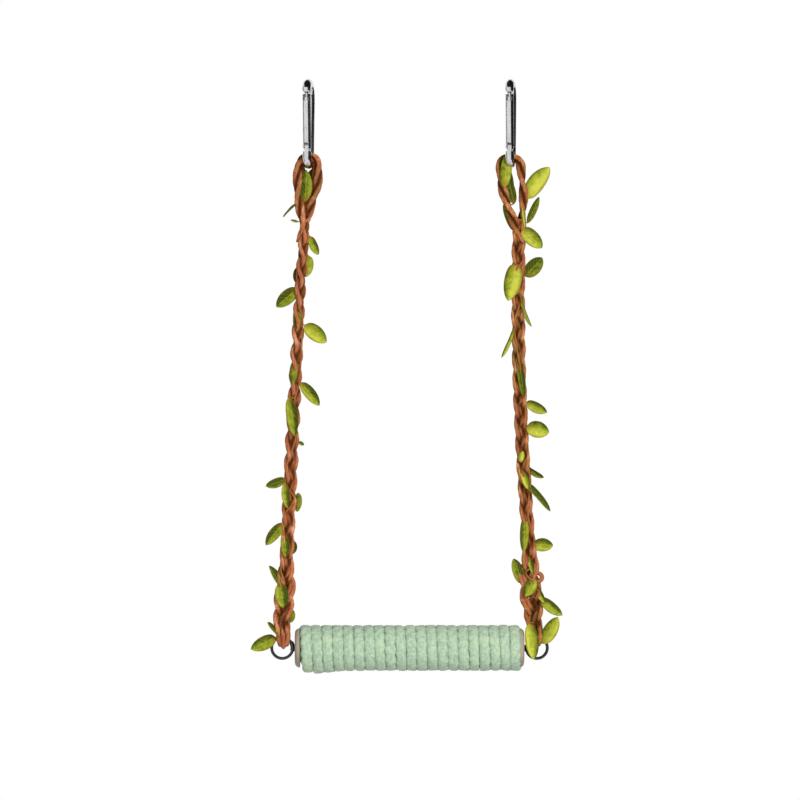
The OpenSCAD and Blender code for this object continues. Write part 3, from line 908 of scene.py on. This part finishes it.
# %% Places of the leaves
LEAVES = {
    "left_loop": [
        ((-55, -0.9, -57.9), (-54.3, -0.6, -40.9), 6.4, 0, 0.3),
        ((-58.4, -0.8, -58.4), (-66.5, -2.2, -65.5), 5.6, 80, 0.1),
        ((-58.4, -1.2, -68.3), (-62.1, -2.8, -67.3), 1.3, 30, 0.3),
        ((-52.4, 2.2, -58.9), (-51.6, 2.6, -40.6), 6.2, 0, -0.1),
    ],
    "left_plait": [
        ((-52.1, -0.6, -75.9), (-47.9, -1.2, -85.6), 4.4, 10, 0.55),
        ((-53.2, 1.6, -85.6), (-54.5, 2.2, -97.2), 7.3, 0, 0.5),
        ((-57.6, 1.6, -91.4), (-58.4, 2.4, -101.3), 5.6, 0, 0.08),
        ((-58.4, -0.2, -103.2), (-69.7, -1.6, -112.9), 7.4, 0, 0.25),
        ((-58.7, -1.4, -111.3), (-59.2, -1.8, -127), 4.4, 0, 0.2),
        ((-55, -0.8, -122.3), (-43.5, -3, -131.5), 8, 0, 0.8),
        ((-60.3, -1.4, -141.2), (-61.3, -4.2, -153.2), 4.2, 0, 0.45),
        ((-57.1, -0.6, -152.4), (-47.2, -1, -164.5), 5.9, 0, 0.42),
        ((-62.9, -3.6, -160), (-60, -4.8, -180.5), 6, 0, 0.35),
        ((-57.9, -0.5, -183.6), (-55.3, -1, -185.2), 1.8, 0, 0.15),
        ((-65, -1, -203), (-75.2, -3, -206.7), 4.9, 0, 0),
        ((-65, -1.8, -204.6), (-63.9, -4.2, -218.2), 4, 0, 0.4),
        ((-58.2, 1.4, -210.3), (-59, 1.8, -220.3), 4, 0, 0.35),
        ((-65.8, -0.8, -226.1), (-75.2, -2, -237.6), 5.8, 0, 0.3),
        ((-65.8, -1.8, -231.8), (-64.7, -4, -243.9), 4.6, 0, 0.3),
        ((-61.6, 1.2, -235), (-61, 1.4, -242.3), 4.4, 0, 0.3),
        ((-67.3, -1.8, -259.1), (-73.1, -3.4, -248.1), 7, 62, 0.1),
        ((-67.6, -2.2, -257.5), (-65.8, -4.4, -270.3), 6.9, 0, 0.4),
    ],
    "left_tail": [
        ((-62.1, 1.2, -271.1), (-62.6, 1.6, -278.5), 4.7, 0, 0.2),
        ((-67.3, -2.4, -285.8), (-74.4, -3.8, -277.9), 5.5, 66, 0.12),
        ((-70, -1.4, -285.8), (-82.8, -6, -291.8), 7.2, 0, 0.4),
    ],
    "right_loop": [
        ((49.5, -2.7, -50.5), (51.1, -3.8, -31.9), 6, 0, 0.62),
        ((54.8, 0.9, -58.9), (51.6, 1.2, -45.3), 4.6, 0, 0),
        ((54.9, 2.6, -72.8), (49.3, 2.2, -58.9), 4.2, 0, 0.1),
        ((61, 0.8, -56), (73.4, 0.2, -39.5), 9, 0, 0.95),
        ((61.8, 1, -68.9), (68, 2, -55), 3.6, 0, 0.1),
        ((53.7, 2.2, -54.7), (52.1, 2.6, -40), 4.2, 0, -0.1),
    ],
    "right_plait": [
        ((60.8, -1.8, -73), (59.2, -2.2, -60.5), 1.5, 20, 0.7),
        ((59, -1.6, -71.7), (69.4, -2.2, -82), 7.8, 0, 0.7),
        ((60.5, 0.6, -96.9), (69.6, 1.8, -86.9), 7.8, 0, 0.15),
        ((55.5, -1.2, -90.1), (51.4, -6.5, -110), 9, 0, 0.85),
        ((57.1, -1.4, -105.5), (63.1, -5, -123.4), 5.5, 68, 1.1),
        ((55.5, -1.6, -122.3), (48.7, -4, -139.6), 5, -64, 0.7),
        ((56.3, -1.4, -139.1), (60, -3.2, -160.6), 4, 20, 0.0),
        ((61, -0.6, -162.7), (72, -1.4, -168.2), 5.5, 0, 0.5),
        ((61.3, -0.6, -175.8), (73.1, -1.8, -178.6), 8.6, 0, 0.7),
        ((57.9, -1.6, -194.1), (59.2, -3.4, -188.3), 3.2, 0, 0.9),
        ((61, 0.4, -196.5), (70.2, 1.6, -202.7), 5, 52, 0.25),
        ((59, -1.4, -199.3), (62.1, -4, -208.2), 4, 0, 0.7),
        ((59.5, -1.4, -204), (74.1, -4.5, -219.2), 5.4, -50, 0.05),
        ((60.3, -1.4, -222.9), (59.5, -4.6, -241.3), 4.6, 0, 0.4),
        ((64.5, -0.8, -237.6), (75.2, -1.4, -237.8), 6.9, 0, 0.5),
        ((62.1, -1.4, -243.3), (64.7, -3.4, -252.8), 2.6, 10, 0.35),
        ((59, -0.4, -257.8), (54.5, -1, -244.7), 6, 0, 0.2),
        ((65.2, -1.6, -254.6), (60.5, -4.2, -264.3), 6.4, 0, 0.5),
        ((65.2, -1.2, -258), (71, -3, -268), 3.4, 10, 0.45),
    ],
    "right_tail": [
        ((68.9, -0.8, -265.4), (79.9, -3.4, -274.3), 5.6, 0, 0.5),
        ((69.2, -1.6, -289.2), (77.6, -2.8, -275.3), 7.6, 0, 0.65),
        ((62.9, -4.1, -278.2), (65, -6, -297.3), 7, 0, 0.75),
    ],
}

for side, word in SIDES.items():
    legs = [loop_leg(side, leg, i / 30) for leg in (-1, 1) for i in range(31)]
    bunches = (
        (f"{word}_loop_foliage", legs, f"{word}_loop", f"{word}_loop_leaves"),
        (f"{word}_plait_leaves", stems[side], f"{word}_plait", f"{word}_leaves"),
        (f"{word}_tail_foliage", tail_core(side), f"{word}_tail", f"{word}_tail_leaves"),
    )
    for name, cord, body, replaced in bunches:
        leaf_bunch(name, LEAVES[body], cord, body, replaced, leaf_cloth)

# %% [markdown]
# ## Rope on the perch
# The perch is wound with soft cotton rope, dyed mint green, in 21 turns that press against each
# other. The rope is one round tube along its route, which is then shaped: pressed flat against
# the dowel and against its neighbours, so its section is nearly square, with three shallow
# lobes that wind along it. Only a narrow groove, with painted shade in it, tells two turns apart.

# %% Rope
PERCH_Z = -291.5
ROPE_TURNS = 21
ROPE_HALF = 54.5
ROPE_MIDDLE = -0.05
ROPE_R = 9.7
ROPE_LAY = 15.6
TUBE_R = 3.05
TURN_STEPS = 120
LOOSE_X = -47
SQUARE = 3.2
PRESSED = 0.26
ROPE_REACH = 12.0


def rope_route():
    """Each turn leans a little on the front and steps over to the next one at the back.

    At the bottom on the left the first turns hang loose."""
    out = []
    for i in range(ROPE_TURNS * TURN_STEPS + 1):
        u = i / TURN_STEPS
        turn = min(int(u), ROPE_TURNS - 1)
        within = u - turn
        moved = 0.25 * within
        if turn < ROPE_TURNS - 1:
            moved = 0.5 * within + 0.5 * ease((within - 0.68) / 0.32)
        x = ROPE_MIDDLE + ROPE_HALF * (2 * (turn + moved) / (ROPE_TURNS - 1) - 1)
        if 0.5 < u < ROPE_TURNS - 0.5:
            x += 0.5 * noise.noise((u * 3.1, turn * 0.7, 4))
        a = math.radians(30 - 360 * u)
        r = ROPE_R + 0.2 * noise.noise((u * 1.7, 9, turn * 0.9))
        r += 1.5 * max(0.0, -math.cos(a)) ** 4 * math.exp(-(((x - LOOSE_X) / 8) ** 2))
        out.append(Vector((x, r * math.sin(a), PERCH_Z + r * math.cos(a))))
    return out


def press_rope(piece, route):
    """Press the tube against the dowel and its neighbours, and give it three winding lobes."""
    tree = kdtree.KDTree(len(route))
    gone = [0.0]
    for i, p in enumerate(route):
        tree.insert(p, i)
        gone.append(gone[-1] + (p - route[max(i - 1, 0)]).length)
    tree.balance()
    for v in piece.data.vertices:
        co = v.co / MM
        near, i, _ = tree.find(co)
        away = Vector((0, near.y, near.z - PERCH_Z)).normalized()
        across = (co - near).x
        up = (co - near).dot(away)
        turned = math.atan2(up, across)
        along = gone[i + 1]
        wander = 1.5 * noise.noise((along * 0.05, 3, 1))
        lobe = math.cos(3 * (turned - math.tau * along / ROPE_LAY) + wander)
        rough = 0.05 * noise.noise((co.x * 0.9, co.y * 0.9, co.z * 0.9))
        corner = abs(math.cos(turned)) ** SQUARE + abs(math.sin(turned)) ** SQUARE
        square = corner ** (-1 / SQUARE)
        grow = square * (1 + (0.035 + 0.09 * abs(math.cos(turned))) * lobe + rough)
        v.co = (near + (co - near) * grow - away * up * grow * PRESSED) * MM


def cotton_finish():
    finish = Finish(
        "mint_cotton",
        Roughness=0.95,
        Sheen_Weight=0.15,
        Sheen_Roughness=0.6,
        Specular_IOR_Level=0.1,
    )
    fibres = finish.noise(finish.place((300, 24, 1), source="UV"), 1.0, 3)
    patches = finish.noise(finish.place(), 120, 2)
    mottle = finish.noise(finish.place(), 700, 2)
    fuzz = finish.noise(finish.place(), 3000, 3)
    tufts = (fibres * 0.25 + fuzz * 0.2 + mottle * 0.55).step(0.38, 0.62)
    base = finish.mix(tufts, colour(135, 157, 134), colour(161, 182, 156))
    base = finish.mix(patches.step(0.5, 0.75) * 0.5, base, colour(172, 188, 151))
    # Painted shade: the rope is darker where it lies near the dowel, in the hollows between its turns
    base = finish.mix(finish.stored("outward").step(0.86, 0.975), colour(132, 156, 134), base)
    finish.feed("Base Color", base)
    finish.bump(fibres * 0.3 + mottle * 0.3 + fuzz * 0.4, 0.6, 0.3 * MM)
    return finish.material


mint_cotton = cotton_finish()
rope_core = even(rope_route(), CORD_STEP)
dowel_axis = [Vector((x, 0, PERCH_Z)) for x in range(-60, 61)]
rope = laid(
    "cotton_rope",
    [rope_core],
    TUBE_R,
    "perch",
    mint_cotton,
    dowel_axis,
    ROPE_REACH,
    resolution=6,
)
press_rope(rope, rope_core)
# The hollows are marked again for the painted shade, now that the rope has its shape
rope.data.attributes.remove(rope.data.attributes["outward"])
mark_hollows(rope.data, dowel_axis, ROPE_REACH)
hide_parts("perch_rope")

# %% [markdown]
# ## Wood
# The perch is a turned dowel, bare and a little greyed. Its grain runs along X, so the noise is
# stretched along it, and rings show on the ends.

# %% Finish of the dowel


def wood_finish():
    finish = Finish("bare_wood", Roughness=0.7)
    _, y, z = finish.axes(finish.place(move=(0, 0, -PERCH_Z * MM)))
    wander = finish.noise(finish.place((8, 60, 60)), 1.0, 3)
    from_heart = (((y - 3 * MM) ** 2 + (z + 2 * MM) ** 2) ** 0.5) * 1500 + wander * 6
    rings = from_heart.sin() * 0.5 + 0.5
    grain = finish.noise(finish.place((120, 1600, 1600)), 1.0, 4)
    base = finish.mix(rings * 0.5 + grain * 0.4, colour(158, 146, 126), colour(116, 104, 88))
    stains = finish.noise(finish.place(), 160, 2).step(0.4, 0.8)
    base = finish.mix(stains * 0.5, base, colour(134, 130, 116))
    finish.feed("Base Color", base)
    finish.feed("Roughness", 0.6 + grain * 0.25)
    finish.bump(grain * 0.7 + rings * 0.3, 0.4, 0.08 * MM)
    return finish.material


def repaint(name, material):
    """Put a finish on a rigid piece of the CAD model."""
    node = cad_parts[name]
    if not node.material_slots:
        node.data.materials.append(material)
    for holder in node.material_slots:
        holder.material = material


repaint("perch_dowel", wood_finish())
print("dowel finished")

# %% [markdown]
# ## Metal
# The hooks are polished and plated. Their look comes from what they reflect, so the finish is
# nearly plain: faint polishing marks in the roughness and shallow waves in the surface. The
# gates have marks round them, the rivets are duller, and the rings are darker.

# %% Finishes of the metal
# Each steel's bright and dull grey, its roughness, and how its marks are stretched
STEEL = {
    "hook_steel": ((0.66, 0.66, 0.68), (0.56, 0.56, 0.58), 0.1, (2500, 2500, 150)),
    "gate_steel": ((0.68, 0.68, 0.7), (0.58, 0.58, 0.6), 0.12, (300, 300, 3000)),
    "rivet_steel": ((0.6, 0.6, 0.62), (0.45, 0.45, 0.47), 0.3, (1500, 1500, 1500)),
    "spring_steel": ((0.62, 0.62, 0.64), (0.5, 0.5, 0.52), 0.25, (900, 900, 900)),
    "ring_steel": ((0.08, 0.08, 0.082), (0.04, 0.04, 0.042), 0.25, (900, 2000, 900)),
}
# Which steel each rigid piece has
METAL = {
    "hook": "hook_steel",
    "gate": "gate_steel",
    "gate_pin": "rivet_steel",
    "gate_plunger": "rivet_steel",
    "gate_spring": "spring_steel",
    "screw_eye": "ring_steel",
}


def plated_finish(name, bright, dull, rough, streak):
    """Plated steel, with faint polishing marks."""
    finish = Finish(name, Metallic=1.0)
    marks = finish.noise(finish.place(streak), 1.0, 3)
    clouds = finish.noise(finish.place(), 300, 2)
    finish.feed("Base Color", finish.mix(clouds.step(0.35, 0.75), bright, dull))
    finish.feed("Roughness", rough + marks * rough * 0.8)
    finish.bump(marks * 0.6 + clouds * 0.4, 0.15, 0.05 * MM)
    return finish.material


steel = {name: plated_finish(name, *row) for name, row in STEEL.items()}
for word in SIDES.values():
    for part, name in METAL.items():
        repaint(f"{word}_{part}", steel[name])
print("metal finished")

# %% [markdown]
# Where the ring of a screw eye comes back to its shank, the wire is a little thicker and nearly
# black. That lump is a short piece of tube, bent round the middle of the ring: rows of corners
# that are joined by faces, with a flat face at each end.

# %% Lumps on the rings
EYE_RING = 5.5
LUMP_ROWS = 12
LUMP_SIDES = 16


def ring_lump(name, side, start, end, radius):
    """A piece of tube on the ring's wire, between two angles counted from the shank upwards."""
    mesh = bmesh.new()
    rows = []
    for i in range(LUMP_ROWS + 1):
        a = math.radians(start + (end - start) * i / LUMP_ROWS)
        row = []
        for k in range(LUMP_SIDES):
            b = math.tau * k / LUMP_SIDES
            out = EYE_RING + radius * math.sin(b)
            x = side * (EYE_X - out * math.cos(a))
            z = RING_Z - EYE_RING + out * math.sin(a)
            row.append(mesh.verts.new(Vector((x, radius * math.cos(b), z)) * MM))
        rows.append(row)
    for one, other in zip(rows, rows[1:]):
        for k in range(LUMP_SIDES):
            mesh.faces.new((one[k - 1], one[k], other[k], other[k - 1]))
    mesh.faces.new(rows[0])
    mesh.faces.new(rows[-1])
    bmesh.ops.recalc_face_normals(mesh, faces=mesh.faces)
    data = bpy.data.meshes.new(name)
    mesh.to_mesh(data)
    mesh.free()
    data.materials.append(steel["ring_steel"])
    data.shade_smooth()
    piece = bpy.data.objects.new(name, data)
    scene.collection.objects.link(piece)
    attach(piece, "perch")
    print(name, len(data.polygons), "faces")


ring_lump("left_ring_lump", -1, -16, 32, 1.2)
ring_lump("right_ring_lump", 1, -16, 14, 1.05)

# %% [markdown]
# ## Studio
# The picture has a white background and soft light from above and a little from the right. The
# world is white to the camera and in reflections. Black cards beside and above the swing give
# the polished hooks the dark bands that they show, as a product photographer's cards do; only
# reflections see them. The lamps are hidden from reflections, which would show them as white
# spots on the metal. The floor is below the picture's frame.

# %% World, floor and lights
SKY_LIGHT = 0.24
FLOOR_Z = -0.42


def area_light(name, place, aim, width, power):
    lamp = bpy.data.lights.new(name, "AREA")
    lamp.shape = "SQUARE"
    lamp.size = width
    lamp.energy = power
    holder = bpy.data.objects.new(name, lamp)
    scene.collection.objects.link(holder)
    holder.location = place
    holder.rotation_euler = (Vector(aim) - Vector(place)).to_track_quat("-Z", "Y").to_euler()
    holder.visible_glossy = False


world = bpy.data.worlds.new("studio")
scene.world = world
world.use_nodes = True
sky = world.node_tree
paths = sky.nodes.new("ShaderNodeLightPath")
seen = paths.outputs["Is Camera Ray"]
for ray in ("Is Glossy Ray", "Is Transmission Ray"):
    either = sky.nodes.new("ShaderNodeMath")
    either.operation = "MAXIMUM"
    sky.links.new(seen, either.inputs[0])
    sky.links.new(paths.outputs[ray], either.inputs[1])
    seen = either.outputs[0]
strength = sky.nodes.new("ShaderNodeMapRange")
sky.links.new(seen, strength.inputs[0])
strength.inputs[3].default_value = SKY_LIGHT
strength.inputs[4].default_value = 1.0
sky.nodes["Background"].inputs[0].default_value = (1, 1, 1, 1)
sky.links.new(strength.outputs[0], sky.nodes["Background"].inputs[1])

middle = (0, 0, -0.16)
area_light("key", (0.75, -1.25, 0.5), middle, 0.45, 24)
area_light("fill", (-0.9, -1.3, 0.1), middle, 1.0, 5)
area_light("low", (0.05, -0.55, -0.4), (0, 0, -0.3), 0.3, 1.7)
area_light("top", (0.1, 0.2, 1.1), middle, 0.7, 2)


def flat_piece(name, width, depth, place, tilt, material, turn=0):
    """The floor or a card: a flat piece of the studio, tilted about X, then turned about Z."""
    mesh = bmesh.new()
    bmesh.ops.create_grid(mesh, x_segments=1, y_segments=1, size=0.5)
    bmesh.ops.scale(mesh, vec=(width, depth, 1), verts=mesh.verts)
    turned = Matrix.Rotation(math.radians(turn), 4, "Z")
    turned = turned @ Matrix.Rotation(math.radians(tilt), 4, "X")
    bmesh.ops.transform(mesh, matrix=Matrix.Translation(place) @ turned, verts=mesh.verts)
    data = bpy.data.meshes.new(name)
    mesh.to_mesh(data)
    mesh.free()
    data.materials.append(material)
    piece = bpy.data.objects.new(name, data)
    scene.collection.objects.link(piece)
    return piece


floor_finish = Finish("pale_floor", Base_Color=(0.86, 0.86, 0.85, 1), Roughness=0.9)
x, y, _ = floor_finish.axes(floor_finish.place())
fade = ((x * x + y * y) ** 0.5).step(0.12, 0.34)
glow = floor_finish.node("ShaderNodeEmission", None, {"Color": (1, 1, 1, 1), "Strength": 1.0})
both = {0: fade, 1: floor_finish.shader.outputs[0], 2: glow.outputs[0]}
blend = floor_finish.node("ShaderNodeMixShader", None, both)
floor_surface = floor_finish.tree.nodes["Material Output"].inputs[0]
floor_finish.tree.links.new(blend.outputs[0], floor_surface)
flat_piece("floor", 1.0, 0.8, (0, 0, FLOOR_Z), 0, floor_finish.material)

card_finish = Finish("black_card", Base_Color=(0.015, 0.015, 0.015, 1), Roughness=1.0)
cards = [
    flat_piece("right_card", 3.0, 3.0, (1.0, -0.1, 0), 90, card_finish.material, 90),
    flat_piece("top_card", 2.4, 3.0, (0, 0, 1.4), 0, card_finish.material),
    flat_piece("left_card", 0.5, 3.0, (-1.2, 0.1, 0), 90, card_finish.material, 90),
]
for card in cards:
    card.visible_camera = card.visible_diffuse = card.visible_shadow = False
print("studio lit")
